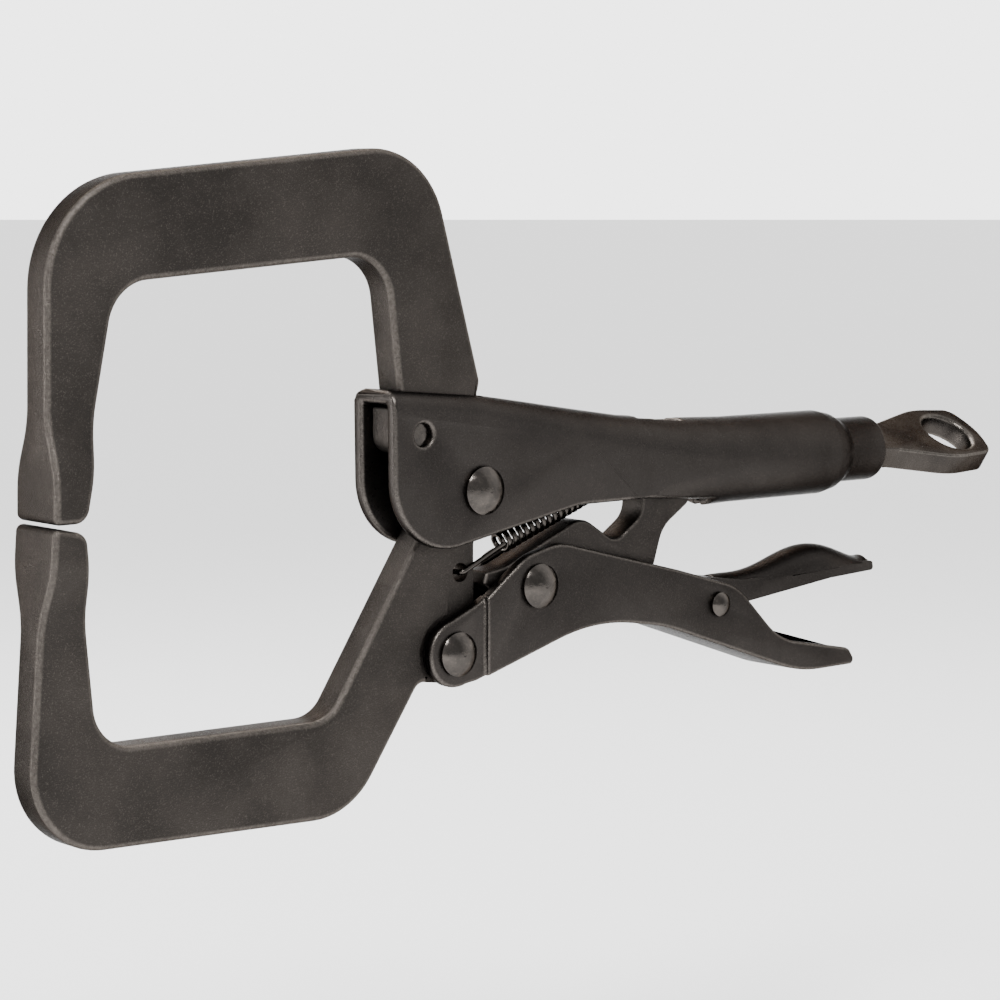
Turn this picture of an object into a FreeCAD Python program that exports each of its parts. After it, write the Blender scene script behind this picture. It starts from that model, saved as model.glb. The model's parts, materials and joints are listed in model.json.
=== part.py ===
import FreeCAD, Part
import math
import os

# Locking C-clamp. The clamp's plane is XZ: +X runs from the jaws to the adjusting screw,
# +Y is across the steel, +Z is up. Shapes are drawn about the main pivot and moved at
# the end, so that the origin lies under the middle of the closed clamp. Millimetres.

# ---- driving dimensions -------------------------------------------------------------
plate = 8.0             # thickness of the forged jaws
tip_width = 15.4        # width of the flared clamping tips
sheet = 3.0             # steel sheet of both pressed handles
slip = 0.3              # side gap between a moving plate and the walls beside it
channel_gap = plate + 2 * slip
channel_width = channel_gap + 2 * sheet

lower_pin = (-6.6, -35.0)       # rivet of lower jaw and lower handle
toggle_pin = (15.8, -22.0)      # rivet of lower handle and toggle link
lever_pin = (70.7, -31.0)       # rivet of the release lever
spring_hole = (-3.2, -17.9)     # where the spring hooks into the lower jaw
spring_anchor = (48.4, 1.5)     # where the spring hooks onto the handle's tab
spring_wire = 0.55              # radius of the wire
spring_coil = 2.7               # outer radius of the coil
ear_radius = 7.3                # round end of the lower handle's ears
jaw_pin = (-16.2, 12.8)         # cross pin that holds the upper jaw in the handle

main_rivet = 3.2                # shank radius of each rivet
lower_rivet = 3.0
toggle_rivet = 3.0
lever_rivet = 1.7
jaw_pin_radius = 2.4
pin_play = 0.05                 # radial play of a pin in a turning hole

screw_axis = 1.7                # height of the screw and the tube above the main pivot
tube_radius = 10.0
tube_start = 70.0
shoulder_start = 108.0
neck_start = 115.0
neck_end = 126.5
eye_end = 166.2
neck_radius = 7.7
screw_radius = 5.0
screw_tip = 72.0                # end of the screw's hardened nose
nose_length = 8.0
eye_centre = 154.8
eye_bore = 6.6                  # radius of the hole in the eye
eye_thickness = 6.0
eye_tilt = 33.0                 # turn of the flat eye about the screw's axis, degrees

def vec(x, z, y=0.0):
    return FreeCAD.Vector(x, y, z)


def wire_of(corners):
    """Closed wire in XZ through corners (x, z, radius), each rounded by its radius."""
    points = [vec(c[0], c[1]) for c in corners]
    radii = [c[2] if len(c) > 2 else 0.0 for c in corners]
    count = len(points)
    starts, ends, middles = [], [], []
    for i in range(count):
        here, before, after = points[i], points[i - 1], points[(i + 1) % count]
        to_before = (before - here).normalize()
        to_after = (after - here).normalize()
        if radii[i] <= 0 or to_before.getAngle(to_after) > math.radians(179):
            starts.append(here)
            ends.append(here)
            middles.append(None)
            continue
        half = to_before.getAngle(to_after) / 2
        run = radii[i] / math.tan(half)
        centre = here + (to_before + to_after).normalize() * (radii[i] / math.sin(half))
        starts.append(here + to_before * run)
        ends.append(here + to_after * run)
        middles.append(centre + (here - centre).normalize() * radii[i])
    edges = []
    for i in range(count):
        if middles[i] is not None:
            edges.append(Part.Arc(starts[i], middles[i], ends[i]).toShape())
        step = starts[(i + 1) % count]
        if ends[i].distanceToPoint(step) > 1e-5:
            edges.append(Part.LineSegment(ends[i], step).toShape())
    return Part.Wire(edges)


def plate_of(corners, width, y_middle=0.0):
    """The outline made into a plate of the given width about the middle plane."""
    face = Part.Face(wire_of(corners))
    face.translate(FreeCAD.Vector(0, y_middle - width / 2, 0))
    return face.extrude(FreeCAD.Vector(0, width, 0))


def disc(centre, radius, width, y_middle=0.0):
    """A round bar across the clamp at (x, z)."""
    base = vec(centre[0], centre[1], y_middle - width / 2)
    return Part.makeCylinder(radius, width, base, FreeCAD.Vector(0, 1, 0))


def box(x0, x1, y0, y1, z0, z1):
    return Part.makeBox(x1 - x0, y1 - y0, z1 - z0, FreeCAD.Vector(x0, y0, z0))


def both_sides(shape):
    """A cutter and its mirror image on the other side of the clamp."""
    return [shape, shape.mirror(FreeCAD.Vector(0, 0, 0), FreeCAD.Vector(0, 1, 0))]


def domed_rivet(centre, shank, head, dome, grip):
    """A pin across the clamp with a low dome on a short straight wall at each end."""
    rim = 0.7
    half = grip / 2
    ball = (head ** 2 + dome ** 2) / (2 * dome)
    profile = [
        Part.LineSegment(vec(0, 0, -half - rim - dome), vec(0, 0, half + rim + dome)).toShape(),
        Part.Arc(vec(0, 0, half + rim + dome),
                 vec(head * 0.7, 0, half + rim + dome - ball + math.sqrt(ball ** 2 - (head * 0.7) ** 2)),
                 vec(head, 0, half + rim)).toShape(),
        Part.LineSegment(vec(head, 0, half + rim), vec(head, 0, half)).toShape(),
        Part.LineSegment(vec(head, 0, half), vec(shank, 0, half)).toShape(),
        Part.LineSegment(vec(shank, 0, half), vec(shank, 0, -half)).toShape(),
        Part.LineSegment(vec(shank, 0, -half), vec(head, 0, -half)).toShape(),
        Part.LineSegment(vec(head, 0, -half), vec(head, 0, -half - rim)).toShape(),
        Part.Arc(vec(head, 0, -half - rim),
                 vec(head * 0.7, 0, -half - rim - dome + ball - math.sqrt(ball ** 2 - (head * 0.7) ** 2)),
                 vec(0, 0, -half - rim - dome)).toShape(),
    ]
    face = Part.Face(Part.Wire(profile))
    solid = face.revolve(FreeCAD.Vector(0, 0, 0), FreeCAD.Vector(0, 1, 0), 360)
    solid.translate(vec(centre[0], centre[1]))
    return solid


# ---- the forged jaws -----------------------------------------------------------------
def upper_jaw():
    outline = [
        (-107.0, 0.0, 1.5), (-99.5, 0.0, 3.4),          # clamping face
        (-90.0, 46.2, 10), (-23.6, 51.0, 9.5),          # throat
        (-19.8, 18.7), (-22.0, 18.7, 0.8),              # shoulder under the handle's bridge
        (-22.0, 8.0, 4), (1.0, 10.6, 3),                # tongue inside the handle
        (1.4, 20.6, 0.6), (2.1, 23.3, 3), (-12.2, 74.2, 18.5), (-105.8, 66.0, 23),
    ]
    jaw = plate_of(outline, tip_width)
    thin, wide = plate / 2, tip_width / 2
    flare = Part.Face(Part.makePolygon([
        FreeCAD.Vector(-115, thin, 19.5), FreeCAD.Vector(-115, wide, 9.5),
        FreeCAD.Vector(-115, wide + 1, 9.5), FreeCAD.Vector(-115, wide + 1, 80),
        FreeCAD.Vector(-115, thin, 80), FreeCAD.Vector(-115, thin, 19.5)]))
    cutters = both_sides(flare.extrude(FreeCAD.Vector(35, 0, 0)))
    cutters += both_sides(box(-85, 10, thin, wide + 1, 0, 80))
    jaw = jaw.cut(cutters)
    jaw = jaw.cut(disc(jaw_pin, jaw_pin_radius, tip_width))
    return jaw


def lower_jaw():
    outline = [
        (-107.2, -0.3, 1.5), (-99.7, -2.0, 3),          # clamping face
        (-95.6, -45.5, 9), (-39.0, -46.0, 8),           # throat
        (-10.4, -2.3, 6), (-2.0, 8.0), (8.6, 2.0), (0.5, -11.5, 3),
        (0.5, -33.0), (-4.0, -41.4), (-9.0, -41.4), (-14.9, -40.6, 3),
        (-33.2, -67.3, 18), (-112.3, -65.4, 17),
    ]
    jaw = plate_of(outline, tip_width)
    thin, wide = plate / 2, tip_width / 2
    flare = Part.Face(Part.makePolygon([
        FreeCAD.Vector(-115, thin, -19.5), FreeCAD.Vector(-115, wide, -9.5),
        FreeCAD.Vector(-115, wide + 1, -9.5), FreeCAD.Vector(-115, wide + 1, -80),
        FreeCAD.Vector(-115, thin, -80), FreeCAD.Vector(-115, thin, -19.5)]))
    cutters = both_sides(flare.extrude(FreeCAD.Vector(35, 0, 0)))
    cutters += both_sides(box(-85, 15, thin, wide + 1, -80, 12))
    jaw = jaw.cut(cutters)
    jaw = jaw.fuse([disc((0, 0), 9.3, plate), disc(lower_pin, 6.8, plate)])
    # the lug is thinner where the lower handle's ears straddle it
    ear_gap = plate - 1.8
    recess = disc(lower_pin, ear_radius + 1.2, 2, ear_gap / 2 + 1)
    recess = recess.fuse(disc((3.0, -18.0), 10.6, 2, ear_gap / 2 + 1))
    recess = recess.fuse(box(-6.6, 6, ear_gap / 2, ear_gap / 2 + 2, -35, -22))
    jaw = jaw.cut(both_sides(recess))
    holes = [disc((0, 0), main_rivet + pin_play, 20),
             disc(lower_pin, lower_rivet + pin_play, 20),
             disc(spring_hole, 2.1, 20)]
    return jaw.cut(holes).removeSplitter()


# ---- the pressed upper handle --------------------------------------------------------
def handle_section(x, top, bottom, half, round_top, round_bottom, grow=0.0):
    """Cross-section of the handle at x: four sides and four rounded corners."""
    h, t, b = half + grow, top + grow, bottom - grow
    rt, rb = round_top + grow, round_bottom + grow
    diag = 1 - math.sqrt(0.5)

    def at(y, z):
        return FreeCAD.Vector(x, y, z)

    edges = [
        Part.LineSegment(at(-h, b + rb), at(-h, t - rt)).toShape(),
        Part.Arc(at(-h, t - rt), at(-h + rt * diag, t - rt * diag), at(-h + rt, t)).toShape(),
        Part.LineSegment(at(-h + rt, t), at(h - rt, t)).toShape(),
        Part.Arc(at(h - rt, t), at(h - rt * diag, t - rt * diag), at(h, t - rt)).toShape(),
        Part.LineSegment(at(h, t - rt), at(h, b + rb)).toShape(),
        Part.Arc(at(h, b + rb), at(h - rb * diag, b + rb * diag), at(h - rb, b)).toShape(),
        Part.LineSegment(at(h - rb, b), at(-h + rb, b)).toShape(),
        Part.Arc(at(-h + rb, b), at(-h + rb * diag, b + rb * diag), at(-h, b + rb)).toShape(),
    ]
    return Part.Wire(edges)


def handle_body(wall, last):
    """The handle from its open channel to its round neck; wall is taken off all round."""
    half = channel_width / 2

    def tube(x, radius):
        return (x, screw_axis + radius, screw_axis - radius, radius, radius - 0.15, radius - 0.15)

    stations = [
        (-26.0, 22.7, -20.0, half, 3.6, 3.6),
        (0.0, 20.5, -20.0, half, 4.4, 4.0),
        (14.0, 18.4, -18.0, half, 5.4, 4.5),
        (30.0, 15.9, -14.0, half + 0.1, 6.6, 5.5),
        (44.0, 13.8, -11.0, half + 0.6, 7.4, 7.0),
        (60.0, 12.3, -8.8, half + 1.7, 8.7, 8.6),
        tube(78.0, tube_radius),
        tube(shoulder_start, tube_radius),
        tube(shoulder_start + 3.5, tube_radius - 0.7),
        tube(neck_start, neck_radius),
        tube(neck_end, neck_radius),
    ]
    wires = [handle_section(*station, -wall) for station in stations[:last]]
    return Part.makeLoft(wires, True, True)


def round_bar(x0, x1, radius):
    return Part.makeCylinder(radius, x1 - x0, vec(x0, screw_axis), FreeCAD.Vector(1, 0, 0))


def upper_handle():
    side = plate_of([
        (-24.3, 23.1, 2.4), (140, 32), (140, -14), (tube_start, -14), (tube_start, -6.6),
        (47.0, -4.9, 30), (28.0, -5.1, 20), (-7.5, -12.0, 12), (-23.9, -12.0, 15)], 40)
    body = handle_body(0, 11).common(side)
    body = body.cut(handle_body(sheet, 8))
    body = body.cut(round_bar(shoulder_start - 1, neck_end + 1, screw_radius + pin_play))
    half = channel_gap / 2
    cuts = [
        box(-20.8, 2.4, -half, half, 12, 30),                   # slot for the upper jaw's leg
        box(-30, tube_start, -half, half, -30, 8),              # open underside
        box(49.6, 62, -2.4, 2.4, 6, 20),                        # window that the tab is cut from
        box(tube_start - 1, neck_end + 1, -0.4, 0.4, -12, -1),  # seam of the rolled tube
        disc((0, 0), main_rivet + pin_play, 40),
        disc(jaw_pin, jaw_pin_radius, 40),
    ]
    body = body.cut(cuts)
    start, end = vec(*spring_hole), vec(*spring_anchor)
    tab = box(47.2, 49.6, -2.2, 2.2, -0.4, 11.6)
    tab = tab.cut(Part.makeCylinder(spring_wire + 0.15, 80, start, end - start))
    return body.fuse(tab).removeSplitter()


# ---- lower handle, toggle link and release lever ------------------------------------
def lower_handle():
    wall = [
        (-9.0, -28.2), (0.0, -24.4, 12), (12.5, -15.2, 14), (22.0, -12.9, 14),
        (58.0, -22.0, 20), (77.0, -27.4, 16), (91.0, -41.2, 18), (114.5, -45.6, 2.5), (117.2, -49.6, 1.2),
        (98.0, -49.8, 40), (54.0, -34.6, 50), (33.0, -31.2, 50), (-1.0, -41.4), (-6.6, -42.2),
    ]
    solid = plate_of(wall, channel_width).fuse(disc(lower_pin, ear_radius, channel_width))
    hollow = [
        (2.0, -8.0), (125.0, -8.0), (125.0, -46.6), (98.0, -46.8, 40), (54.6, -31.6, 47),
        (33.0, -28.2, 53), (2.0, -37.4),
    ]
    solid = solid.cut(plate_of(hollow, channel_gap))
    ear_gap = plate - 1.8 + 2 * slip
    ear_face = ear_gap / 2 + sheet
    solid = solid.cut([box(-30, 3.4, -ear_gap / 2, ear_gap / 2, -60, 0)])
    solid = solid.cut(both_sides(box(-30, 1.2, ear_face, ear_face + 4, -60, 0)))
    holes = [disc(lower_pin, lower_rivet, 30), disc(toggle_pin, toggle_rivet, 30),
             disc(lever_pin, lever_rivet, 30)]
    return solid.cut(holes).removeSplitter()


def toggle_link():
    outline = [
        (3.0, -20.8, 0.8), (3.9, -18.4, 0.8), (9.5, -17.6, 6), (31.8, -8.2, 6),
        (41.8, -14.6, 4.0), (49.4, -9.4, 5), (51.0, 2.0, 6), (57.0, 5.0, 6),
        (67.5, 7.0, 4.4), (68.5, -2.2, 4.0), (63.8, -7.6, 3.0),
        (56.4, -12.4, 8), (53.2, -22.4, 1.0), (20.0, -27.8, 5), (9.0, -25.0, 5),
    ]
    link = plate_of(outline, channel_gap - 4 * slip)
    return link.cut(disc(toggle_pin, toggle_rivet + pin_play, 20))


def arched(x, half, fold, crown):
    """Section of the thumb pad: flat below at the fold, arched above to the crown."""
    top = Part.Arc(FreeCAD.Vector(x, -half, fold), FreeCAD.Vector(x, 0, crown), FreeCAD.Vector(x, half, fold))
    base = Part.LineSegment(FreeCAD.Vector(x, half, fold), FreeCAD.Vector(x, -half, fold))
    return Part.Wire([top.toShape(), base.toShape()])


def release_lever():
    width = channel_gap - 2 * slip
    metal = 1.8
    body = plate_of([
        (61.0, -25.8, 1.2), (67.0, -24.6, 5), (82.0, -26.6, 12), (112.0, -25.2, 12), (125.6, -25.6, 0.8),
        (126.0, -27.8, 0.8), (111.0, -28.6, 12), (80.0, -32.2, 12), (73.5, -35.2, 3), (66.0, -34.4, 3)], width)
    hollow = plate_of([
        (58.0, -27.6), (67.4, -26.6, 4), (82.0, -28.4, 12), (112.0, -27.0, 12), (128.0, -27.4),
        (128.0, -40.0), (58.0, -40.0)], width - 2 * metal)
    stations = [(74.0, 3.6, -26.4, -25.2), (84.0, 3.9, -27.4, -24.9), (94.0, 5.0, -26.8, -22.8),
                (104.0, 6.4, -26.2, -20.4), (114.0, 6.0, -25.8, -21.7), (125.2, 3.4, -26.4, -24.3)]
    pad = Part.makeLoft([arched(*station) for station in stations], True, False)
    under = [(x, half - metal, fold - 0.6, crown - metal) for x, half, fold, crown in stations[2:5]]
    under = Part.makeLoft([arched(*station) for station in under], True, False)
    lever = body.cut(hollow).fuse(pad).cut(under)
    return lever.cut(disc(lever_pin, lever_rivet + pin_play, 20)).removeSplitter()


# ---- spring and screw ---------------------------------------------------------------
def tension_spring():
    """Closed outer shape of the coil, with a hook into the jaw and a straight end to the tab."""
    start, end = vec(*spring_hole), vec(*spring_anchor)
    along = end - start
    length = along.Length
    along.normalize()
    tail, lead = 13.5, 4.0
    side = FreeCAD.Vector(0, -1, 0)
    hook = start + side * 4.4           # beside the jaw's thin lug
    first = start + along * (tail + 0.6) + side * (spring_coil - 0.1)
    reach = first - hook
    body = Part.makeCylinder(spring_coil, length - tail - lead, start + along * tail, along)
    body = body.fuse([
        Part.makeCylinder(spring_wire, reach.Length, hook, reach),
        Part.makeCylinder(spring_wire, 6.0, hook, side * -1),
        Part.makeSphere(spring_wire, hook),
        Part.makeCylinder(spring_wire, lead + 1, end - along * (lead + 1), along)])
    return body.removeSplitter()


def adjusting_screw():
    """Threaded shank and the flat eye that turns it."""
    shank = round_bar(screw_tip + nose_length, neck_end + 1.5, screw_radius)
    blade_start = neck_end + 0.6
    blade = plate_of([
        (blade_start, 4.4), (133.0, 5.4, 8), (150.0, 9.9, 26), (163.4, 8.8, 4), (eye_end, 0.0, 15),
        (163.4, -8.8, 4), (150.0, -9.9, 26), (133.0, -5.4, 8), (blade_start, -4.4)], eye_thickness)
    blade = blade.cut(disc((eye_centre, 0), eye_bore, 20))
    blade.rotate(FreeCAD.Vector(0, 0, 0), FreeCAD.Vector(1, 0, 0), 90 + eye_tilt)
    blade.translate(vec(0, screw_axis))
    return shank.fuse(blade).removeSplitter()


def screw_nose():
    """Rounded bearing end of the screw, which the toggle link pushes on."""
    bar = round_bar(screw_tip + 1.5, screw_tip + nose_length, screw_radius - 0.6)
    tip = Part.makeCone(screw_radius - 2.0, screw_radius - 0.6, 1.5,
                        vec(screw_tip, screw_axis), FreeCAD.Vector(1, 0, 0))
    return bar.fuse(tip).removeSplitter()


nodes = {
    "upper_jaw": upper_jaw(),
    "lower_jaw": lower_jaw(),
    "upper_handle": upper_handle(),
    "lower_handle": lower_handle(),
    "toggle_link": toggle_link(),
    "release_lever": release_lever(),
    "jaw_cross_pin": disc(jaw_pin, jaw_pin_radius, channel_width - 3.2),
    "main_pivot_rivet": domed_rivet((0, 0), main_rivet, 5.2, 2.1, channel_width),
    "lower_jaw_rivet": domed_rivet(lower_pin, lower_rivet, 4.8, 2.0, plate - 1.8 + 2 * slip + 2 * sheet),
    "toggle_rivet": domed_rivet(toggle_pin, toggle_rivet, 4.9, 2.0, channel_width),
    "lever_rivet": domed_rivet(lever_pin, lever_rivet, 2.8, 1.2, channel_width),
    "tension_spring": tension_spring(),
    "adjusting_screw": adjusting_screw(),
    "screw_nose": screw_nose(),
}

# the origin lies under the middle of the closed clamp, at its lowest point
whole = Part.makeCompound(list(nodes.values())).optimalBoundingBox()
shift = vec(-round(whole.Center.x, 2), -round(whole.ZMin, 2))
print("main pivot at", shift)

os.makedirs("parts", exist_ok=True)
for name, shape in nodes.items():
    shape.translate(shift)
    shape.exportStep("parts/" + name + ".step")
    print(name, "solids", len(shape.Solids), "valid", shape.isValid(), "volume", round(shape.Volume))
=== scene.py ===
import json
import math

import bmesh
import bpy
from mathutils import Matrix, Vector
from mathutils.bvhtree import BVHTree
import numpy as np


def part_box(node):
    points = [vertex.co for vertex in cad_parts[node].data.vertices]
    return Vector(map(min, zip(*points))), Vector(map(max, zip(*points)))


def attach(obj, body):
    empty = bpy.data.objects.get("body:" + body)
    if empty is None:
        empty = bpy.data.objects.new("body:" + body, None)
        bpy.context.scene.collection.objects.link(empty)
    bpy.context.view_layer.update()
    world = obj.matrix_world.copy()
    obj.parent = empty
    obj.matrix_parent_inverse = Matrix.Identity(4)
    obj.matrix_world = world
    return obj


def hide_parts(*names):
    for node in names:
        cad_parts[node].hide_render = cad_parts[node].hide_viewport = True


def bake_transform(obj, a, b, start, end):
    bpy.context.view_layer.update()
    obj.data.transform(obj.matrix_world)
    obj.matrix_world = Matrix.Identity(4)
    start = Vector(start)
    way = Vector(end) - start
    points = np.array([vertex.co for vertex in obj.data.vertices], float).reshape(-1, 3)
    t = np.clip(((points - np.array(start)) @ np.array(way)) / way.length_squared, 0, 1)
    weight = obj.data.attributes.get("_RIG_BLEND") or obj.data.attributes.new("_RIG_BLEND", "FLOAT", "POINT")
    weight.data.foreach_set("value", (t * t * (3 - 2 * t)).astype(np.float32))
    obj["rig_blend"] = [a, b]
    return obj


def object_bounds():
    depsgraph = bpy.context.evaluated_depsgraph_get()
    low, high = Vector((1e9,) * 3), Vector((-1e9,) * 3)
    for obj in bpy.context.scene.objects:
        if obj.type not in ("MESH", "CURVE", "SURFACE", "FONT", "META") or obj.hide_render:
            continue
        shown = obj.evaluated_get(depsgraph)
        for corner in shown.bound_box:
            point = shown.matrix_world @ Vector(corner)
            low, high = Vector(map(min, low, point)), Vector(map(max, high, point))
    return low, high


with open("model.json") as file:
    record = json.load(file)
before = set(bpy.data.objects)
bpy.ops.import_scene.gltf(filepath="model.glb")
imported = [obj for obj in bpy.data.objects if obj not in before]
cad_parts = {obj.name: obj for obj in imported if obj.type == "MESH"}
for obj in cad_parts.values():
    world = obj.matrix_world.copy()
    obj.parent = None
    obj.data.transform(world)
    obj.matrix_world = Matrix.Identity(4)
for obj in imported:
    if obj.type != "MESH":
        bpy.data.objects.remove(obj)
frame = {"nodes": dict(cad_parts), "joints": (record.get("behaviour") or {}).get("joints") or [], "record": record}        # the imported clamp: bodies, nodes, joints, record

cadLow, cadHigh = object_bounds()
nodes = frame["nodes"]
joints = {j["name"]: j for j in frame["joints"]}
bodyOf = {}
for bodyName, members in frame["record"]["behaviour"]["bodies"].items():
    for member in members:
        bodyOf[member] = bodyName
mm = 0.001


def pinOf(jointName):
    return Vector(joints[jointName]["pos_m"])


mainPin = pinOf("jaw_opening")
print("frame loaded, main pivot at", [round(v, 4) for v in mainPin])


# materials: every finish is steel, so one builder makes them all
# shared by all finishes: tint at grazing angles, unevenness of the gloss, gloss gained by rubbing
shared = {"graze": (0.345, 0.345, 0.345), "roughSpread": 0.07, "rubPolish": 0.16, "waveStrength": 0.35}


def steel(name, look):
    mat = bpy.data.materials.new(name)
    mat.use_nodes = True
    tree = mat.node_tree
    tree.nodes.clear()
    out = tree.nodes.new("ShaderNodeOutputMaterial")
    skin = tree.nodes.new("ShaderNodeBsdfPrincipled")
    tree.links.new(skin.outputs["BSDF"], out.inputs["Surface"])
    skin.inputs["Metallic"].default_value = 1.0
    where = tree.nodes.new("ShaderNodeTexCoord")

    def noiseAt(scale, detail, rough=0.55):
        n = tree.nodes.new("ShaderNodeTexNoise")
        n.inputs["Scale"].default_value = scale
        n.inputs["Detail"].default_value = detail
        n.inputs["Roughness"].default_value = rough
        tree.links.new(where.outputs["Object"], n.inputs["Vector"])
        return n.outputs["Fac"]

    def ramp(source, low, high, a, b):
        r = tree.nodes.new("ShaderNodeMapRange")
        r.inputs["From Min"].default_value = low
        r.inputs["From Max"].default_value = high
        r.inputs["To Min"].default_value = a
        r.inputs["To Max"].default_value = b
        tree.links.new(source, r.inputs["Value"])
        return r.outputs["Result"]

    def mix(fac, a, b):
        m = tree.nodes.new("ShaderNodeMix")
        m.data_type = "RGBA"
        for socket, value in (("A", a), ("B", b)):
            target = [s for s in m.inputs if s.name == socket and s.type == "RGBA"][0]
            if isinstance(value, tuple):
                target.default_value = (*value, 1)
            else:
                tree.links.new(value, target)
        tree.links.new(fac, m.inputs[0])
        return [s for s in m.outputs if s.type == "RGBA"][0]

    def calc(kind, a, b):
        m = tree.nodes.new("ShaderNodeMath")
        m.operation = kind
        m.use_clamp = True
        for socket, value in ((0, a), (1, b)):
            if isinstance(value, (int, float)):
                m.inputs[socket].default_value = value
            else:
                tree.links.new(value, m.inputs[socket])
        return m.outputs[0]

    grain = noiseAt(look["grain"], 3.0, 0.6)
    cloud = noiseAt(look["cloud"], 4.0)
    colour = mix(ramp(cloud, 0.35, 0.65, 0, 1), look["dark"], look["light"])
    colour = mix(ramp(grain, 0.56, 0.74, 0, look["speck"]), colour, look["bright"])

    # bright edges, partly real wear and partly a painted highlight along the rounded edges: the rounding
    # pass writes where an edge was rounded
    wearAndSheen = tree.nodes.new("ShaderNodeAttribute")
    wearAndSheen.attribute_name = "edgeWearAndSheen"
    patches = ramp(noiseAt(look["rubAndSheenScale"], 4.0, 0.7), 0.36, 0.66, 0.35, 1)
    rubAndSheen = calc("MULTIPLY", wearAndSheen.outputs["Fac"], patches)
    rubAndSheen = calc("MULTIPLY", rubAndSheen, look["rubAndSheen"])
    colour = mix(rubAndSheen, colour, look["bright"])
    tree.links.new(colour, skin.inputs["Base Color"])
    skin.inputs["Specular Tint"].default_value = (*shared["graze"], 1)

    spread = shared["roughSpread"]
    blotches = noiseAt(look["grain"] * 0.5, 2.0)
    rough = ramp(blotches, 0.3, 0.7, look["rough"] - spread, look["rough"] + spread)
    worn = calc("SUBTRACT", rough, calc("MULTIPLY", rubAndSheen, shared["rubPolish"]))
    tree.links.new(worn, skin.inputs["Roughness"])

    fine = tree.nodes.new("ShaderNodeBump")
    fine.inputs["Strength"].default_value = look["bump"]
    fine.inputs["Distance"].default_value = look["bumpHeight"]
    tree.links.new(grain, fine.inputs["Height"])
    broad = tree.nodes.new("ShaderNodeBump")
    broad.inputs["Strength"].default_value = shared["waveStrength"]
    broad.inputs["Distance"].default_value = look["wave"]
    tree.links.new(noiseAt(look["cloud"] * 3, 2.0), broad.inputs["Height"])
    tree.links.new(fine.outputs["Normal"], broad.inputs["Normal"])
    tree.links.new(broad.outputs["Normal"], skin.inputs["Normal"])
    return mat


finishes = {
    "forgedSteel": steel("blastedForgedSteel", {
        "dark": (0.027, 0.0242, 0.0222), "light": (0.043, 0.0380, 0.0345), "bright": (0.30, 0.265, 0.235),
        "rough": 0.37, "grain": 3400, "cloud": 48, "speck": 0.16, "rubAndSheen": 0.24, "rubAndSheenScale": 1400,
        "bump": 0.75, "bumpHeight": 0.00022, "wave": 0.0004}),
    "pressedSteel": steel("blackenedSheetSteel", {
        "dark": (0.024, 0.0215, 0.0200), "light": (0.036, 0.0322, 0.0298), "bright": (0.28, 0.25, 0.225),
        "rough": 0.33, "grain": 4200, "cloud": 34, "speck": 0.12, "rubAndSheen": 0.26, "rubAndSheenScale": 1400,
        "bump": 0.5, "bumpHeight": 0.00014, "wave": 0.0003}),
    "linkSteel": steel("blankedLinkSteel", {
        "dark": (0.024, 0.0215, 0.0200), "light": (0.037, 0.0330, 0.0302), "bright": (0.28, 0.25, 0.225),
        "rough": 0.36, "grain": 3600, "cloud": 60, "speck": 0.15, "rubAndSheen": 0.26, "rubAndSheenScale": 1200,
        "bump": 0.55, "bumpHeight": 0.00018, "wave": 0.0003}),
    "rivetSteel": steel("polishedRivetSteel", {
        "dark": (0.045, 0.0410, 0.0380), "light": (0.082, 0.0730, 0.0660), "bright": (0.36, 0.30, 0.25),
        "rough": 0.19, "grain": 1900, "cloud": 210, "speck": 0.1, "rubAndSheen": 0.3, "rubAndSheenScale": 900,
        "bump": 0.15, "bumpHeight": 0.0001, "wave": 0.0002}),
    "springWire": steel("blackSpringWire", {
        "dark": (0.040, 0.0360, 0.0330), "light": (0.070, 0.0625, 0.0570), "bright": (0.30, 0.26, 0.22),
        "rough": 0.22, "grain": 2600, "cloud": 150, "speck": 0.1, "rubAndSheen": 0.3, "rubAndSheenScale": 900,
        "bump": 0.12, "bumpHeight": 0.00008, "wave": 0.0001}),
    "screwSteel": steel("blackenedScrewSteel", {
        "dark": (0.030, 0.0268, 0.0246), "light": (0.050, 0.0442, 0.0400), "bright": (0.26, 0.235, 0.21),
        "rough": 0.29, "grain": 3200, "cloud": 80, "speck": 0.12, "rubAndSheen": 0.35, "rubAndSheenScale": 1000,
        "bump": 0.4, "bumpHeight": 0.00014, "wave": 0.0003}),
}
slotFinish = {"forged_steel": "forgedSteel", "pressed_steel": "pressedSteel", "link_steel": "linkSteel",
              "lever_steel": "pressedSteel", "rivet_steel": "rivetSteel", "spring_wire": "springWire",
              "screw_steel": "screwSteel"}
slotOf = {s["node"]: s["material_slot"] for s in frame["record"]["subparts"]}
print("materials made:", len(finishes))


# how meshes are read: distance that welds two points (m), angle still flat (degrees),
# how squarely a face looks sideways to count as a side or as a rim, angle of a sharp edge (radians)
reading = {"weld": 2e-6, "flat": 0.6, "side": 0.75, "rim": 0.35, "sharp": 0.7, "flareBend": 0.1}


# one new piece on the body of a node, with the finish of that node's slot
def newPiece(name, mesh, node):
    obj = bpy.data.objects.new(name, mesh)
    bpy.context.scene.collection.objects.link(obj)
    obj.data.materials.clear()
    obj.data.materials.append(finishes[slotFinish[slotOf[node]]])
    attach(obj, bodyOf[node])
    return obj


def cleanCopy(node):
    # a copy of the node's mesh with flat areas joined into single faces
    bm = bmesh.new()
    bm.from_mesh(nodes[node].data)
    bmesh.ops.remove_doubles(bm, verts=bm.verts, dist=reading["weld"])
    bmesh.ops.dissolve_limit(bm, angle_limit=math.radians(reading["flat"]), use_dissolve_boundaries=False,
                             verts=bm.verts, edges=bm.edges, delimit={"NORMAL"})
    bm.normal_update()
    return bm


def closedLoops(chosen):
    # drops every edge that isn't part of a loop, so that no rounding ends in mid-air
    left = set(chosen)
    while True:
        loose = [e for e in left if any(sum(o in left for o in v.link_edges) != 2 for v in e.verts)]
        if not loose:
            return left
        left.difference_update(loose)


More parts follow.
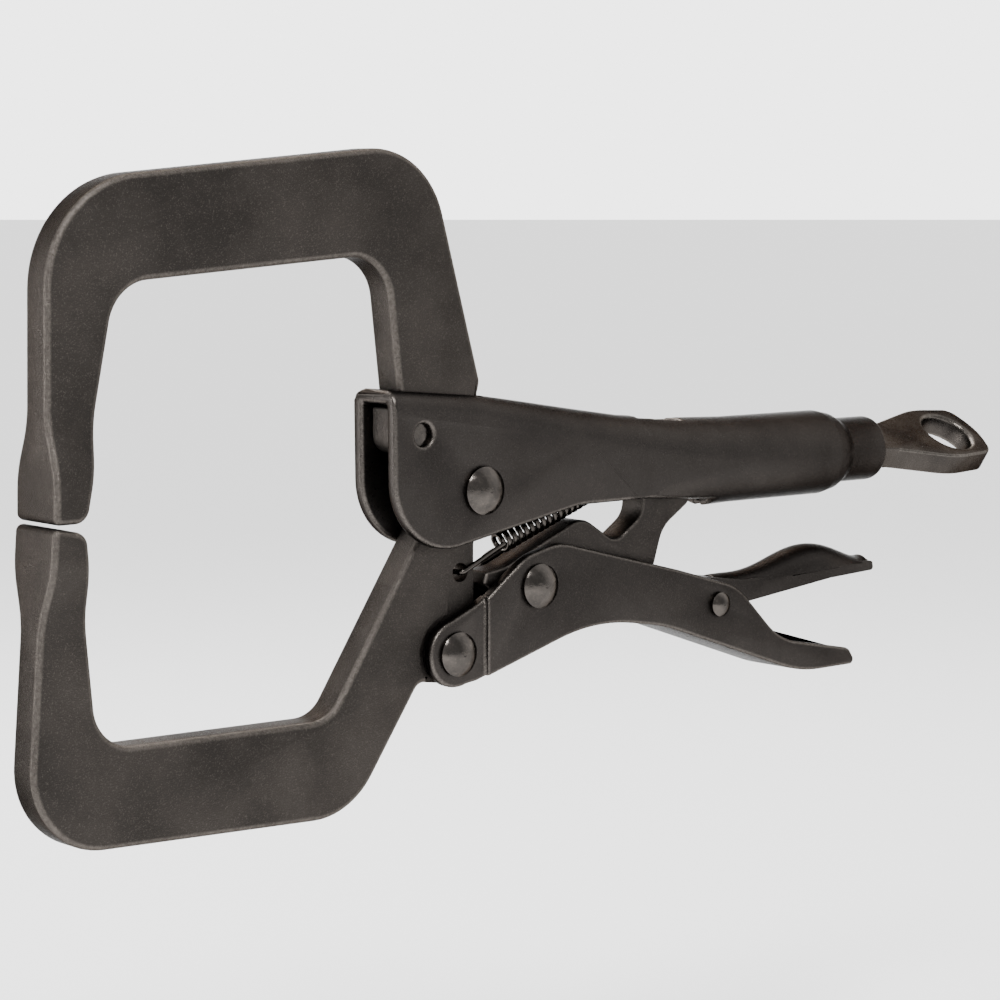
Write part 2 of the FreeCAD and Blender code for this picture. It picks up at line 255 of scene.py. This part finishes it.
def chains(chosen):
    # groups the edges that hang together, in the order of the list, so that each run is the same
    left, found = set(chosen), []
    for first in chosen:
        if first not in left:
            continue
        left.remove(first)
        reach, chain = [first], set()
        while reach:
            e = reach.pop()
            chain.add(e)
            for v in e.verts:
                fresh = [o for o in v.link_edges if o in left]
                left.difference_update(fresh)
                reach.extend(fresh)
        found.append(chain)
    return found


# tried in turn: which edges of a chain (0 all, 1 without its forks, 2 only closed loops),
# and which share of the width
roundingTries = ((0, 1.0), (0, 0.7), (0, 0.45), (1, 1.0), (1, 0.6), (2, 1.0), (2, 0.5))
strayLimit = 0.7        # how far a rounding may leave the old surface, as a share of its width


def roundEdges(bm, width, segments, test, wearAndSheen=1.0):
    # rounds the edges that pass the test, chain by chain, and marks the new faces for the bright edge
    # colour, partly wear and partly painted highlight;
    # a chain whose rounding strays from the old surface is tried again finer, then without its forks
    if "edgeWearAndSheen" not in bm.verts.layers.float:
        bm.verts.layers.float.new("edgeWearAndSheen")
    mark = bm.edges.layers.int.get("chain") or bm.edges.layers.int.new("chain")
    chosen = [e for e in bm.edges if len(e.link_faces) == 2 and test(e)]
    for e in bm.edges:
        e[mark] = 0
    picks = chains(chosen)
    for number, chain in enumerate(picks, 1):
        plain = {e for e in chain if all(sum(o in chain for o in v.link_edges) <= 2 for v in e.verts)}
        loops = closedLoops(chain)
        for e in chain:
            e[mark] = number * 4 + (2 if e in loops else 1 if e in plain else 0)
    done = 0
    for number in range(1, len(picks) + 1):
        for least, share in roundingTries:
            size = width * share
            attempt = bm.copy()
            surface = BVHTree.FromBMesh(bm)
            layer, mark = attempt.verts.layers.float["edgeWearAndSheen"], attempt.edges.layers.int["chain"]
            picked = [e for e in attempt.edges if e[mark] // 4 == number and e[mark] % 4 >= least]
            if not picked:
                attempt.free()
                continue
            made = bmesh.ops.bevel(attempt, geom=picked, offset=size, offset_type="OFFSET",
                                   segments=segments, profile=0.5, affect="EDGES",
                                   clamp_overlap=False, loop_slide=True)
            stray = max((surface.find_nearest(v.co)[3] for v in made["verts"]), default=0)
            if stray > size * strayLimit:
                attempt.free()
                continue
            newFaces = set(made["faces"])
            for v in made["verts"]:
                if all(f in newFaces for f in v.link_faces):
                    v[layer] = wearAndSheen
            for e in made["edges"]:
                e[mark] = 0
            bm.free()
            bm = attempt
            bm.normal_update()
            done += len(picked)
            break
    print("   chains:", len(picks), "edges rounded:", done, "of", len(chosen))
    return bm


def toMesh(bm, name, smoothAngle=32):
    mesh = bpy.data.meshes.new(name)
    for f in bm.faces:
        f.smooth = True
    limit = math.radians(smoothAngle)
    for e in bm.edges:
        e.smooth = len(e.link_faces) == 2 and e.calc_face_angle(4) < limit
    bm.to_mesh(mesh)
    bm.free()
    return mesh


def near(e, point, radius):
    middle = (e.verts[0].co + e.verts[1].co) / 2
    return math.hypot(middle.x - point.x, middle.z - point.z) < radius


def rimEdge(e):
    # an edge between a side face and the rim that runs round a plate
    a, b = (abs(f.normal.y) for f in e.link_faces)
    return max(a, b) > reading["side"] and min(a, b) < reading["rim"]


# forged jaws: flared tips and rounded rims
# lengths in millimetres; hole and lug are measured from the main pivot
jawLook = {"edgeRadius": 1.3, "flareRadius": 3.0, "segments": 4, "tipLength": 16, "plateHalf": 3.9,
           "pinHole": (-16.2, 12.8), "pinHoleReach": 4, "lug": (3.0, -18.0), "lugReach": 11.2,
           "pivotReach": 20, "earReach": 8.5}


def forgedJaw(node):
    bm = cleanCopy(node)
    look = jawLook
    low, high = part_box(node)
    tipX = low.x + look["tipLength"] * mm
    lowerPin = pinOf("lower_handle_swing")
    pinHole, lug = (mainPin + Vector((look[k][0], 0, look[k][1])) * mm for k in ("pinHole", "lug"))

    def flareEdge(e):
        a, b = e.link_faces
        mid = (e.verts[0].co + e.verts[1].co) / 2
        return (mid.x < tipX and min(abs(a.normal.y), abs(b.normal.y)) > reading["side"]
                and a.normal.y * b.normal.y > 0 and e.calc_face_angle(0) > reading["flareBend"])

    def outerRim(e):
        mid = (e.verts[0].co + e.verts[1].co) / 2
        if not rimEdge(e) or abs(mid.y) < look["plateHalf"] * mm:
            return False
        if node == "upper_jaw":
            return not near(e, pinHole, look["pinHoleReach"] * mm)
        return not (near(e, mainPin, look["pivotReach"] * mm) or near(e, lowerPin, look["earReach"] * mm)
                    or near(e, lug, look["lugReach"] * mm))

    print(node)
    bm = roundEdges(bm, look["flareRadius"] * mm, look["segments"], flareEdge, 0.0)
    bm = roundEdges(bm, look["edgeRadius"] * mm, look["segments"], outerRim)
    piece = newPiece(node + "Forging", toMesh(bm, node + "Forging"), node)
    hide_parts(node)


for jawNode in ("upper_jaw", "lower_jaw"):
    forgedJaw(jawNode)


# pressed handles, link and lever: cut sheet with its edges tumbled round
def sharp(e):
    return e.calc_face_angle(0) > reading["sharp"]


# radius in millimetres and number of steps round it
tumbled = {"upper_handle": (0.95, 3), "lower_handle": (0.8, 3), "toggle_link": (0.8, 3),
           "release_lever": (0.4, 2), "adjusting_screw": (1.1, 3), "screw_nose": (0.5, 2)}
for node, (width, segments) in tumbled.items():
    print(node)
    bm = roundEdges(cleanCopy(node), width * mm, segments, sharp)
    piece = newPiece(node + "Tumbled", toMesh(bm, node + "Tumbled"), node)
    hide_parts(node)


# release lever: the pressed fold that joins its thumb pad to its spine
# ends measured from the lever's rivet
foldLook = {"start": (26.4, 3.85), "end": (44.6, 5.0), "height": 1.7, "blunt": 0.15,
            "halfWidth": 2.6, "round": 0.2, "steps": 14}


def leverFold():
    look = foldLook
    leverPin = pinOf("release_lever_press")
    first, last = (Vector((x, 0, z)) for x, z in (look["start"], look["end"]))
    top, bottom = [], []
    for k in range(look["steps"] + 1):
        t = k / look["steps"]
        half = look["height"] / 2 * (look["blunt"] + (1 - look["blunt"]) * math.sin(math.pi * t))
        top.append(first.lerp(last, t) + Vector((0, 0, half)))
        bottom.append(first.lerp(last, t) - Vector((0, 0, half)))
    outline = top + bottom[::-1]
    bm = bmesh.new()
    sides = [[bm.verts.new(leverPin + (p + Vector((0, y, 0))) * mm) for p in outline]
             for y in (-look["halfWidth"], look["halfWidth"])]
    for k in range(len(outline)):
        nxt = (k + 1) % len(outline)
        bm.faces.new((sides[0][k], sides[0][nxt], sides[1][nxt], sides[1][k]))
    bm.faces.new(sides[0])
    bm.faces.new(sides[1])
    bmesh.ops.recalc_face_normals(bm, faces=bm.faces)
    return roundEdges(bm, look["round"] * mm, 2, sharp, 0.0)


newPiece("leverFold", toMesh(leverFold(), "leverFold"), "release_lever")


# tension spring: hooked wire wound into an open coil
# radii, lengths and places in millimetres, the places measured from the main pivot
springLook = {"wire": 0.6, "coil": 2.1, "pitch": 1.75, "steps": 18, "ring": 8, "hookOut": 3.65,
              "hookIn": -1.4, "bend": 1.0, "hole": (-3.2, -17.9), "anchor": (48.4, 1.5),
              "tail": 14.1, "lead": 4.4, "endGap": 1.2, "endArch": 0.3, "endTail": 0.9, "blendFrom": 0.16}


def springPath():
    look = springLook
    hole = mainPin + Vector((look["hole"][0], 0, look["hole"][1])) * mm
    anchor = mainPin + Vector((look["anchor"][0], 0, look["anchor"][1])) * mm
    along = (anchor - hole).normalized()
    side = Vector((0, -1, 0))
    up = along.cross(side)
    coilStart = hole + along * look["tail"] * mm
    coilLength = (anchor - coilStart).length - look["lead"] * mm
    turns = round(coilLength / (look["pitch"] * mm))
    path = [hole + side * look["hookIn"] * mm]
    out = look["hookOut"] * mm
    bend = look["bend"] * mm
    for k in range(6):      # the hook turns out of the hole and towards the coil
        t = k / 5 * math.pi / 2
        path.append(hole + side * (out - bend + bend * math.sin(t)) + along * bend * (1 - math.cos(t)))
    for k in range(turns * look["steps"] + 1):
        t = 2 * math.pi * k / look["steps"]
        path.append(coilStart + along * coilLength * k / (turns * look["steps"])
                    + (side * math.cos(t) - up * math.sin(t)) * look["coil"] * mm)
    last = path[-1]
    for k in range(1, 6):   # the far end runs back to the middle and out through the tab
        t = k / 5
        path.append(last.lerp(anchor - along * look["endGap"] * mm, t)
                    + (up * math.sin(t * math.pi) * look["endArch"] * mm))
    path.append(anchor + along * look["endTail"] * mm)
    return path, hole, anchor, turns


def wireMesh(name, path, radius, ring):
    bm = bmesh.new()
    loops = []
    normal = Vector((0, 0, 1))
    for i, point in enumerate(path):
        ahead = path[min(i + 1, len(path) - 1)] - path[max(i - 1, 0)]
        ahead.normalize()
        normal = (normal - ahead * normal.dot(ahead)).normalized()
        other = ahead.cross(normal)
        loops.append([bm.verts.new(point + (normal * math.cos(a) + other * math.sin(a)) * radius)
                      for a in (2 * math.pi * k / ring for k in range(ring))])
    for first, second in zip(loops, loops[1:]):
        for k in range(ring):
            bm.faces.new((first[k], first[(k + 1) % ring], second[(k + 1) % ring], second[k]))
    bm.faces.new(list(reversed(loops[0])))
    bm.faces.new(loops[-1])
    bmesh.ops.recalc_face_normals(bm, faces=bm.faces)
    bm.verts.layers.float.new("edgeWearAndSheen")
    return toMesh(bm, name, 60)


path, springHole, springAnchor, turnCount = springPath()
springMesh = wireMesh("hookedSpring", path, springLook["wire"] * mm, springLook["ring"])
spring = bpy.data.objects.new("hookedSpring", springMesh)
bpy.context.scene.collection.objects.link(spring)
spring.data.materials.append(finishes["springWire"])
blendStart = springHole + (springAnchor - springHole) * springLook["blendFrom"]
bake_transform(spring, "lower_jaw", "upper_half", blendStart, springAnchor)
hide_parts("tension_spring")
print("spring turns:", turnCount)

# rivets and cross pin keep their own shape and only get their finish
for node, obj in nodes.items():
    if not obj.hide_render:
        obj.data.materials.clear()
        obj.data.materials.append(finishes[slotFinish[slotOf[node]]])

# floor, lights and camera
# floorDrop leaves room under the clamp for the lower jaw and handle to open; lights in watts
studio = {"floorSize": 40.0, "floorDrop": 0.10, "floorColour": (0.90, 0.90, 0.90), "floorRough": 0.9,
          "skyBehind": 3.8, "skyFront": 0.75, "skyTurn": (0.64, 0.77, 0.0), "skyFade": (-0.4, 0.85)}
softboxes = {   # place from the clamp's middle and size, in metres, then power
    "keySoftbox": ((-0.45, -0.50, 0.70), (0.22, 0.22), 10.0),
    "rimSoftbox": ((0.25, 0.55, 0.60), (0.7, 0.3), 9.0),
    "leftSoftbox": ((-0.75, 0.50, 0.10), (0.10, 0.6), 5.0)}

floorMesh = bpy.data.meshes.new("paleFloor")
half = studio["floorSize"] / 2
floorMesh.from_pydata([(x, y, -studio["floorDrop"]) for x, y in
                       ((-half, -half), (half, -half), (half, half), (-half, half))], [], [(0, 1, 2, 3)])
floor = bpy.data.objects.new("paleFloor", floorMesh)
bpy.context.scene.collection.objects.link(floor)
floorMat = bpy.data.materials.new("paleFloor")
floorMat.use_nodes = True
floorSkin = floorMat.node_tree.nodes["Principled BSDF"]
floorSkin.inputs["Base Color"].default_value = (*studio["floorColour"], 1)
floorSkin.inputs["Roughness"].default_value = studio["floorRough"]
floorMesh.materials.append(floorMat)

world = bpy.data.worlds.new("studioSky")
bpy.context.scene.world = world
world.use_nodes = True
sky = world.node_tree     # pale all round, dimmer on the side the camera stands
toward = sky.nodes.new("ShaderNodeTexCoord")
facing = sky.nodes.new("ShaderNodeVectorMath")
facing.operation = "DOT_PRODUCT"
facing.inputs[1].default_value = studio["skyTurn"]
fade = sky.nodes.new("ShaderNodeMapRange")
sky.links.new(toward.outputs["Generated"], facing.inputs[0])
sky.links.new(facing.outputs["Value"], fade.inputs["Value"])
fade.inputs["From Min"].default_value, fade.inputs["From Max"].default_value = studio["skyFade"]
fade.inputs["To Min"].default_value = studio["skyFront"]
fade.inputs["To Max"].default_value = studio["skyBehind"]
sky.links.new(fade.outputs["Result"], sky.nodes["Background"].inputs["Strength"])
sky.nodes["Background"].inputs["Color"].default_value = (1, 1, 1, 1)


def softLight(name, place, aim, size, power):
    data = bpy.data.lights.new(name, "AREA")
    data.shape = "RECTANGLE"
    data.size, data.size_y = size
    data.energy = power
    lamp = bpy.data.objects.new(name, data)
    bpy.context.scene.collection.objects.link(lamp)
    lamp.location = place
    lamp.rotation_euler = (aim - place).to_track_quat("-Z", "Y").to_euler()


middle = (cadLow + cadHigh) / 2
for name, (offset, size, power) in softboxes.items():
    softLight(name, middle + Vector(offset), middle, size, power)

# lens, distance and aim in millimetres, the aim measured from the main pivot
cameraLook = {"turn": 40.0, "rise": 6.0, "distance": 652.2, "lens": 108.0, "aim": (7.3, -4.0, -2.8)}
turn, rise = math.radians(cameraLook["turn"]), math.radians(cameraLook["rise"])
forward = Vector((math.sin(turn) * math.cos(rise), math.cos(turn) * math.cos(rise), -math.sin(rise)))
cameraData = bpy.data.cameras.new("camera")
cameraData.sensor_width = 36
cameraData.lens = cameraLook["lens"]
cameraData.clip_start, cameraData.clip_end = 0.01, 20
camera = bpy.data.objects.new("camera", cameraData)
bpy.context.scene.collection.objects.link(camera)
aim = mainPin + Vector(cameraLook["aim"]) * mm
camera.location = aim - forward * cameraLook["distance"] * mm
camera.rotation_euler = forward.to_track_quat("-Z", "Y").to_euler()
bpy.context.scene.camera = camera
print("camera and lights placed")
